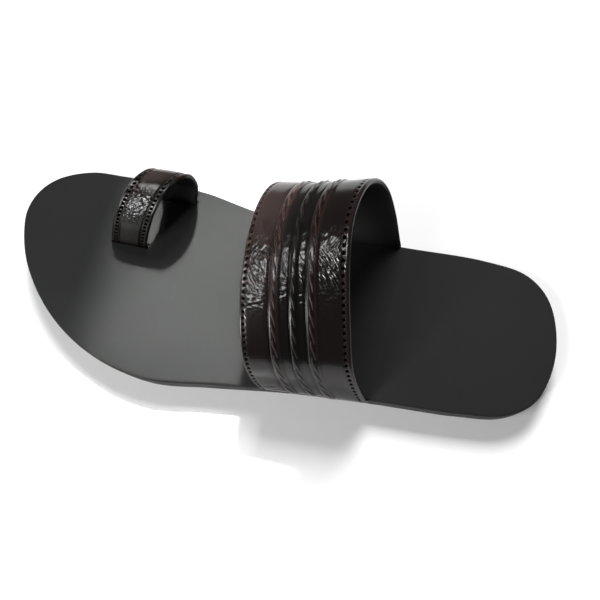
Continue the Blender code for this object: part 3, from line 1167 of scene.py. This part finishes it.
    def arch_range(self) -> tuple[float, float]:
        """Find where the band leaves the sole at both ends.

        Returns:
            Distances from the outer tab's tip, just above the two folds.
        """
        walls = self.sheet.walls[:, self.sheet.walls.shape[1] // 2, 0]
        full = np.nonzero(walls > self.wall - 0.001 * MM)[0]
        scale = self.sheet.length / (len(walls) - 1)
        return float(full[0] * scale + self.above_fold), float(full[-1] * scale - self.above_fold)

    def build_seams(self) -> Piece:
        """Lay the thread of the edge seams between their holes.

        Returns:
            One piece that holds all threads.
        """
        start, end = self.arch_range()
        holes = range(math.ceil(start / self.seam_pitch), math.floor(end / self.seam_pitch) + 1)
        spots = [(row, index * self.seam_pitch) for row in self.seam_rows for index in holes]
        half = (self.thread_half[0], self.thread_length / 2.0, self.thread_half[1])
        return self.sewn(f"{self.name}_thread", spots, half, np.zeros_like, self.thread_facets,
                         -self.thread_sunk)

    def seat_cutter(self, side: Side) -> Piece:
        """Make the space that one folded end needs in the insole, a clearance all round.

        Args:
            side: Which foot.

        Returns:
            The cutter.
        """
        clearance = self.sole.clearance
        highest = max(step.value for step in self.relief_rows) * self.relief
        margin = clearance / self.width
        inward = self.fold_direction(side)
        shares = np.linspace(-margin, 1.0 + margin, self.seat_columns)
        lines, walls = [], []
        for across in shares:
            line = self.folded_end(side, float(across), self.tab + clearance)
            top = self.foot(side, float(across))
            line += [(top, self.wall), (top + UP * self.sole.insole_thickness, self.wall)]
            lines.append([place for place, _ in line])
            walls.append([wall for _, wall in line])
        places = np.array(lines).transpose(1, 0, 2)
        normals = net_normals(places)
        normals *= -np.sign(np.sum(normals[-1, 0] * inward))
        count = places.shape[0]
        work = double_sheet(len(shares) - 1, count - 1)
        wall = np.array(walls).T
        for vert in work.verts:
            column = round((vert.co.x + 0.5) * (len(shares) - 1))
            row = round((vert.co.y + 0.5) * (count - 1))
            if vert.co.z > 0.5:
                off = -(wall[row, column] + clearance)
            else:
                off = clearance + highest + self.notch_opening
            vert.co = places[row, column] + normals[row, column] * off
        bmesh.ops.recalc_face_normals(work, faces=work.faces[:])
        return new_piece(f"{self.name}_{side.name.lower()}_seat", work)

    def build_leather(self) -> Piece:
        """Cut and bend the outer ply."""
        return self.blank(f"{self.name}_leather", Ply.LEATHER, self.column_places(), self.rows, 0.0)

    def build_lining(self) -> Piece:
        """Cut and bend the inner ply.

        Returns:
            The lining.
        """
        columns = np.linspace(0.0, 1.0, self.columns // self.fewer_in_lining[0] + 1)
        rows = self.rows // self.fewer_in_lining[1]
        return self.blank(f"{self.name}_lining", Ply.LINING, columns, rows, self.lining_inset)


@dataclass
class InstepStrap(Band):
    """The wide strap, with two plain panels, grooves and three strips sewn down by whip stitches.

    A whip's start and its reach from its middle are shares of the pitch.
    """

    name: str = "strap"
    node: str = "vamp_strap"
    width: float = 52.0 * MM
    wall: float = 2.4 * MM
    back_height: float = 63.0 * MM
    front_height: float = 51.0 * MM
    back_lean: float = 0.29
    front_lean: float = 0.22
    relief: float = 0.65 * MM
    tab: float = 13.0 * MM
    back_at: float = 0.279
    back_proud: float = 1.3 * MM
    front_proud: float = 0.2 * MM
    notch_opening: float = 2.0 * MM
    seam_rows: tuple[float, ...] = (2.2 * MM, 49.2 * MM)
    seam_pitch: float = 3.0 * MM
    thread_length: float = 1.4 * MM
    strip_rows: tuple[float, ...] = (0.322, 0.500, 0.667)
    whip_pitch: float = 7.6 * MM
    whip_half: tuple[float, float] = (0.62 * MM, 0.34 * MM)
    whip_start: float = 0.75
    whip_reach: float = 0.62
    whip_sway: float = 0.85 * MM
    whip_bend: float = 2.2
    whip_facets: tuple[int, int] = (12, 8)
    arch: tuple[ArchRow, ...] = table(
        ArchRow, (0.004, 0.05, 0.002, 0.05), (0.045, 0.25, 0.025, 0.24), (0.125, 0.45, 0.085, 0.46),
        (0.29, 0.64, 0.22, 0.68), (0.45, 0.8, 0.385, 0.85), (0.6, 0.93, 0.57, 0.96),
        (0.745, 1.0, 0.745, 1.0), (0.89, 0.98, 0.88, 0.96), (1.03, 0.88, 0.985, 0.86),
        (1.125, 0.7, 1.065, 0.68), (1.15, 0.5, 1.1, 0.47), (1.1, 0.26, 1.065, 0.24),
        (1.015, 0.05, 1.01, 0.05)
    )
    relief_rows: tuple[Step, ...] = table(
        Step, (0.0, -0.95), (0.008, -0.4), (0.018, 0.05), (0.028, 0.1), (0.042, 0.02), (0.062, 0.1),
        (0.228, 0.2), (0.244, 0.14), (0.255, -0.02), (0.263, -0.3), (0.27, -0.85), (0.281, 0.7),
        (0.322, 1.0), (0.364, 0.7), (0.374, 0.0), (0.45, 0.0), (0.459, -0.75), (0.469, 0.6), (0.5, 0.9),
        (0.53, 0.6), (0.54, 0.0), (0.603, 0.0), (0.613, -0.75), (0.624, 0.7), (0.667, 1.0), (0.709, 0.7),
        (0.72, 0.1), (0.93, 0.12), (0.948, 0.02), (0.966, 0.12), (0.98, 0.1), (0.991, -0.35), (1.0, -0.95)
    )
    # The near-black middles of the two red-brown strips, under the whip stitches, are painted shade between
    # the stitches
    tints: tuple[Step, ...] = table(
        Step, (0.0, 0.95), (0.045, 0.9), (0.075, 0.38), (0.24, 0.38), (0.255, 0.6), (0.266, 0.05),
        (0.276, 0.05), (0.284, 0.85), (0.298, 0.85), (0.304, 0.05), (0.34, 0.05), (0.346, 0.85),
        (0.362, 0.85), (0.372, 0.06), (0.61, 0.03), (0.626, 0.95), (0.643, 0.95), (0.649, 0.05),
        (0.685, 0.05), (0.691, 0.95), (0.708, 0.95), (0.72, 0.38), (0.915, 0.38), (0.94, 0.95), (1.0, 1.0)
    )
    flex_across: tuple[Step, ...] = table(
        Step, (3.2, 0.1), (5.4, 1.0), (11.6, 1.0), (12.6, 0.1), (19.4, 0.1), (20.2, 0.8), (22.8, 0.8),
        (23.6, 0.1), (27.8, 0.1), (28.6, 0.7), (31.0, 0.7), (31.6, 0.1), (37.4, 0.15), (38.4, 0.9),
        (47.0, 1.0), (49.5, 0.4)
    )
    flex_along: tuple[Step, ...] = table(
        Step, (20.0, 0.25), (34.0, 0.1), (66.0, 0.05), (76.0, 0.55), (84.0, 1.0), (106.0, 1.0),
        (114.0, 0.55), (122.0, 0.05)
    )
    creases: tuple[Crease, ...] = table(
        Crease, (8.5, 73.0, 8.5, 96.0, 0.08), (9.5, 76.5, 8.0, 88.0, 0.1), (7.5, 80.0, 8.0, 100.0, 0.11),
        (9.0, 83.5, 8.5, 108.0, 0.13), (8.0, 87.0, 8.0, 114.0, 0.14), (9.8, 91.0, 7.5, 120.0, 0.14),
        (7.4, 95.0, 7.0, 124.0, 0.12), (9.0, 99.5, 6.5, 60.0, 0.11), (8.0, 104.0, 6.0, 128.0, 0.1),
        (42.5, 73.5, 8.0, 104.0, 0.08), (43.5, 77.5, 8.5, 112.0, 0.12), (42.0, 81.0, 8.0, 110.0, 0.13),
        (43.8, 85.0, 8.0, 116.0, 0.14), (42.0, 89.0, 7.5, 126.0, 0.14), (44.2, 93.0, 7.0, 138.0, 0.13),
        (41.5, 97.0, 6.5, 52.0, 0.12), (44.0, 101.0, 6.0, 132.0, 0.11), (42.5, 105.5, 6.0, 64.0, 0.09),
        (7.5, 27.0, 11.0, 66.0, 0.22), (9.5, 23.5, 9.0, 74.0, 0.16), (22.0, 82.0, 4.0, 92.0, 0.07),
        (21.5, 90.0, 4.0, 98.0, 0.07), (30.0, 79.0, 3.2, 88.0, 0.06), (30.0, 88.0, 3.2, 96.0, 0.06)
    )

    def foot(self, side: Side, across: float) -> np.ndarray:
        """Place a foot of the strap on an edge of the sole.

        Args:
            side: Which foot.
            across: Share of the width from the front edge.

        Returns:
            The outer face's place at the insole's height.
        """
        y = self.back_at * self.sole.outline.length + self.width * (1.0 - across)
        proud = self.front_proud + (self.back_proud - self.front_proud) * across
        x = float(self.sole.outline.x_at(side, y)) + side.value * proud
        return np.array([x, y, float(self.sole.insole_top(y))])

    def build_whips(self, strips: Sequence[float], name: str) -> Piece:
        """Lay the S-shaped whip stitches along strips of the strap.

        Args:
            strips: The middle of each strip, as a share of the width.
            name: The piece's name.

        Returns:
            One piece that holds all of them.
        """
        start, end = self.arch_range()
        count = int((end - start - self.whip_pitch) / self.whip_pitch)
        spots = [(strip * self.width, start + (self.whip_start + index) * self.whip_pitch)
                 for strip in strips for index in range(count + 1)]
        half = (self.whip_half[0], self.whip_reach * self.whip_pitch, self.whip_half[1])
        return self.sewn(name, spots, half,
                         lambda share: -self.whip_sway * math.tanh(self.whip_bend * share),
                         self.whip_facets, 0.0)


@dataclass
class ToeLoop(Band):
    """The narrow loop round the big toe, its inner foot nearer to the heel than its outer one."""

    name: str = "loop"
    node: str = "toe_loop"
    width: float = 20.8 * MM
    wall: float = 2.2 * MM
    back_height: float = 31.0 * MM
    front_height: float = 31.0 * MM
    back_lean: float = -0.07
    front_lean: float = -0.07
    relief: float = 0.5 * MM
    tab: float = 7.0 * MM
    back_at: float = 0.737
    outer_at: float = 0.125
    span: float = 31.2 * MM
    skew: float = 19.5 * MM
    seam_rows: tuple[float, ...] = (2.6 * MM, 18.2 * MM)
    seam_pitch: float = 2.6 * MM
    thread_length: float = 1.5 * MM
    columns: int = 60
    rows: int = 230
    arch: tuple[ArchRow, ...] = tuple(ArchRow(*pair, *pair) for pair in (
        (0.01, 0.07), (0.10, 0.27), (0.24, 0.52), (0.42, 0.75), (0.62, 0.92), (0.82, 1.00),
        (0.98, 0.97), (1.09, 0.84), (1.13, 0.62), (1.12, 0.40), (1.06, 0.21), (1.01, 0.07)))
    relief_rows: tuple[Step, ...] = table(
        Step, (0.0, -1.0), (0.04, 0.0), (0.16, 0.0), (0.2, -0.6), (0.24, 0.2), (0.5, 0.4), (0.76, 0.2),
        (0.8, -0.6), (0.84, 0.0), (0.96, 0.0), (1.0, -1.0)
    )
    tints: tuple[Step, ...] = table(
        Step, (0.0, 0.45), (0.1, 0.5), (0.2, 0.55), (0.35, 0.7), (0.55, 0.35), (0.8, 0.3), (1.0, 0.25)
    )
    flex_across: tuple[Step, ...] = table(
        Step, (3.2, 0.1), (4.4, 1.0), (16.0, 1.0), (17.4, 0.2)
    )
    flex_along: tuple[Step, ...] = table(
        Step, (26.0, 0.05), (34.0, 0.8), (38.0, 1.0), (47.0, 1.0), (53.0, 0.7), (59.0, 0.05)
    )
    creases: tuple[Crease, ...] = table(
        Crease, (8.0, 36.0, 7.0, 118.0, 0.12), (12.0, 39.0, 7.5, 60.0, 0.13), (9.0, 42.5, 7.0, 124.0, 0.13),
        (13.0, 46.0, 6.5, 112.0, 0.13), (9.5, 49.5, 6.5, 56.0, 0.12), (12.5, 33.0, 6.0, 96.0, 0.1)
    )

    def foot(self, side: Side, across: float) -> np.ndarray:
        """Place a foot of the loop in its slot.

        Args:
            side: Which foot.
            across: Share of the width from the front edge.

        Returns:
            The outer face's place at the insole's height.
        """
        inner = side is Side.INNER
        x = self.outer_at * self.sole.outline.ball_width + (self.span if inner else 0.0)
        back = self.back_at * self.sole.outline.length - (self.skew if inner else 0.0)
        y = back + self.width * (1.0 - across)
        return np.array([x, y, float(self.sole.insole_top(y))])


@dataclass(frozen=True)
class Lamp:
    """A soft light: it hangs so far towards a direction from what it lights, in metres, and faces it."""

    name: str
    toward: tuple[float, float, float]
    aim: tuple[float, float, float]
    distance: float
    size: tuple[float, float]
    power: float
    spread: float = 180.0
    mirrored: bool = True

    def hang(self) -> None:
        """Hang the lamp. Its aim is in millimetres and its spread in degrees."""
        data = bpy.data.lights.new(self.name, "AREA")
        data.shape = "RECTANGLE"
        data.size, data.size_y = self.size
        data.energy = self.power
        data.spread = math.radians(self.spread)
        lamp = bpy.data.objects.new(self.name, data)
        lamp.visible_glossy = self.mirrored
        bpy.context.scene.collection.objects.link(lamp)
        direction = Vector(self.toward).normalized()
        lamp.location = Vector(self.aim) * MM + direction * self.distance
        lamp.rotation_euler = direction.to_track_quat("Z", "Y").to_euler()


@dataclass
class Studio:
    """Floor, lights and camera. The camera stands where the photograph was taken, turned to the shoe."""

    camera_at: Vector = field(default_factory=lambda: Vector((-71.9, -73.0, 284.8)) * MM)
    looks_at: Vector = field(default_factory=lambda: Vector((2.3, -19.9, 13.5)) * MM)
    roll: float = -78.43
    lens: float = 34.27
    floor_size: float = 8.0
    floor: PlainGoods = PlainGoods("pale_floor", (0.79, 0.79, 0.79, 1.0), (0.77, 0.77, 0.77, 1.0), 0.75,
                                   6.0 * MM, 0.02 * MM, swell_size=400.0 * MM, specular=0.25)
    room_light: float = 0.09
    lamps: tuple[Lamp, ...] = (
        Lamp("key", (1.05, 0.0, 1.0), (0.0, 0.0, 20.0), 1.3, (0.5, 0.5), 28.0, mirrored=False),
        Lamp("forefoot_beam", (1.05, 0.0, 1.0), (0.5, 30.5, 13.5), 0.6, (0.1, 0.083), 0.29, 4.6, False),
        Lamp("flank", (-0.36, 0.45, 0.80), (-52.0, -22.0, 44.0), 0.9, (0.34, 0.19), 3.5),
        Lamp("low_flank", (-0.83, 0.50, 0.32), (18.0, 60.0, 68.0), 0.9, (0.11, 0.24), 4.9),
    )

    def build_floor(self) -> Piece:
        """Make the plain pale floor.

        Returns:
            The floor.
        """
        work = bmesh.new()
        bmesh.ops.create_grid(work, x_segments=1, y_segments=1, size=self.floor_size / 2.0)
        floor = new_piece("floor", work)
        floor.data.materials.append(self.floor.material())
        return floor

    def build_lights(self) -> None:
        """Hang the lamps, of which the two flanks alone make highlights, and light the room."""
        for lamp in self.lamps:
            lamp.hang()
        world = bpy.data.worlds.new("room")
        world.use_nodes = True
        backdrop = world.node_tree.nodes["Background"]
        backdrop.inputs["Color"].default_value = (1.0, 1.0, 1.0, 1.0)
        backdrop.inputs["Strength"].default_value = self.room_light
        bpy.context.scene.world = world

    def build_camera(self) -> Piece:
        """Set up the camera.

        Returns:
            The camera.
        """
        data = bpy.data.cameras.new("camera")
        data.lens = self.lens
        data.sensor_width = 36.0
        data.clip_start = 0.01
        camera = bpy.data.objects.new("camera", data)
        bpy.context.scene.collection.objects.link(camera)
        back = (self.camera_at - self.looks_at).normalized()
        side = Vector((0.0, 1.0, 0.0)).cross(back).normalized()
        upward = back.cross(side)
        frame = Matrix((side, upward, back)).transposed().to_quaternion()
        camera.location = self.camera_at
        camera.rotation_mode = "QUATERNION"
        camera.rotation_quaternion = frame @ Quaternion((0.0, 0.0, 1.0), math.radians(self.roll))
        bpy.context.scene.camera = camera
        return camera


@dataclass
class Slipper:
    """The whole slipper: it builds its pieces, dresses them and lets them ride on the frame."""

    sole: Sole = field(default_factory=Sole)
    insole: PlainGoods = PlainGoods("insole_synthetic", (0.0156, 0.0161, 0.0157, 1.0),
                                    (0.0169, 0.0174, 0.0170, 1.0), 0.50, 0.9 * MM, 0.010 * MM,
                                    swell_size=35.0 * MM, swell_depth=0.05 * MM, specular=0.10)
    outsole: PlainGoods = PlainGoods("outsole_foam", (0.0070, 0.0070, 0.0070, 1.0),
                                     (0.0100, 0.0100, 0.0100, 1.0), 0.62, 0.8 * MM, 0.05 * MM)
    lining: PlainGoods = PlainGoods("lining_synthetic", (0.0040, 0.0040, 0.0040, 1.0),
                                    (0.0060, 0.0058, 0.0056, 1.0), 0.48, 0.9 * MM, 0.03 * MM)
    thread: PlainGoods = PlainGoods("waxed_thread", (0.0040, 0.0032, 0.0030, 1.0),
                                    (0.0070, 0.0050, 0.0046, 1.0), 0.42, 0.3 * MM, 0.03 * MM)
    brown_whip: PlainGoods = PlainGoods("brown_whip_cord", (0.0120, 0.0064, 0.0060, 1.0),
                                        (0.0180, 0.0090, 0.0084, 1.0), 0.30, 0.5 * MM, 0.02 * MM,
                                        specular=0.25)
    black_whip: PlainGoods = PlainGoods("black_whip_cord", (0.0036, 0.0033, 0.0031, 1.0),
                                        (0.0060, 0.0055, 0.0052, 1.0), 0.30, 0.5 * MM, 0.02 * MM,
                                        specular=0.25)
    made: list[Piece] = field(default_factory=list)

    def add(self, piece: Piece, material: bpy.types.Material, slot: str, *nodes: str) -> None:
        """Dress a piece, move it to the frame's place and let it ride on the root.

        Args:
            piece: The piece, its heel tip at Y = 0.
            material: Its material.
            slot: Not used.
            *nodes: The CAD nodes that it stands for.
        """
        piece.data.transform(Matrix.Translation(self.origin()))
        piece.data.update()
        piece.data.materials.clear()
        piece.data.materials.append(material)
        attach(piece, "root")
        if nodes:
            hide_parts(*nodes)
        self.made.append(piece)
        LOG.info("%s: %d faces, %s", piece.name, len(piece.data.polygons), material.name)

    def origin(self) -> Vector:
        """Find where the heel tip's Y and the axis of the sole lie in the frame.

        Returns:
            The place of the outline's own origin.
        """
        low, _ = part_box("outsole")
        edge = self.sole.outline.edge(Side.OUTER)
        return Vector((low.x - float(edge[:, 0].min()), low.y, 0.0))

    def build(self) -> None:
        """Build and dress every piece, from the sole up."""
        strap = InstepStrap(sole=self.sole)
        loop = ToeLoop(sole=self.sole)
        seats = [band.seat_cutter(side) for band in (strap, loop) for side in Side]
        self.add(self.sole.build_outsole(), self.outsole.material(), "outsole", "outsole")
        self.add(self.sole.build_insole(seats), self.insole.material(), "insole_cover", "insole")
        lining, thread = self.lining.material(), self.thread.material()
        leathers = (
            BandLeather("strap_leather", tuple(row / MM for row in strap.seam_rows), strap.seam_pitch / MM,
                        0.82, 2.2, 84.0, 99.0),
            BandLeather("loop_leather", tuple(row / MM for row in loop.seam_rows), loop.seam_pitch / MM,
                        0.80, 5.0, 30.0, 44.0, red_brown=(0.0088, 0.0064, 0.0056, 1.0), roughness=0.17,
                        specular=0.26, wrinkle_depth=0.30 * MM, wrinkle_size=(1.7, 0.9)),
        )
        for band, leather in zip((strap, loop), leathers):
            self.add(band.build_leather(), leather.material(), "strap_leather", band.node)
            self.add(band.build_lining(), lining, "strap_leather", band.node)
            self.add(band.build_seams(), thread, "strap_leather")
        for name, strips, cord in (("strap_brown_whips", strap.strip_rows[::2], self.brown_whip),
                                   ("strap_black_whips", strap.strip_rows[1:2], self.black_whip)):
            self.add(strap.build_whips(strips, name), cord.material(), "strap_leather")


def main() -> None:
    """Build the slipper and its studio."""
    logging.basicConfig(level=logging.INFO, format="%(name)s: %(message)s")
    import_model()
    studio = Studio()
    studio.build_camera()
    studio.build_lights()
    studio.build_floor()
    bpy.context.scene.view_settings.view_transform = "Standard"
    slipper = Slipper()
    slipper.build()
    LOG.info("%d pieces, %d faces", len(slipper.made), sum(len(p.data.polygons) for p in slipper.made))


if __name__ == "__main__":
    main()
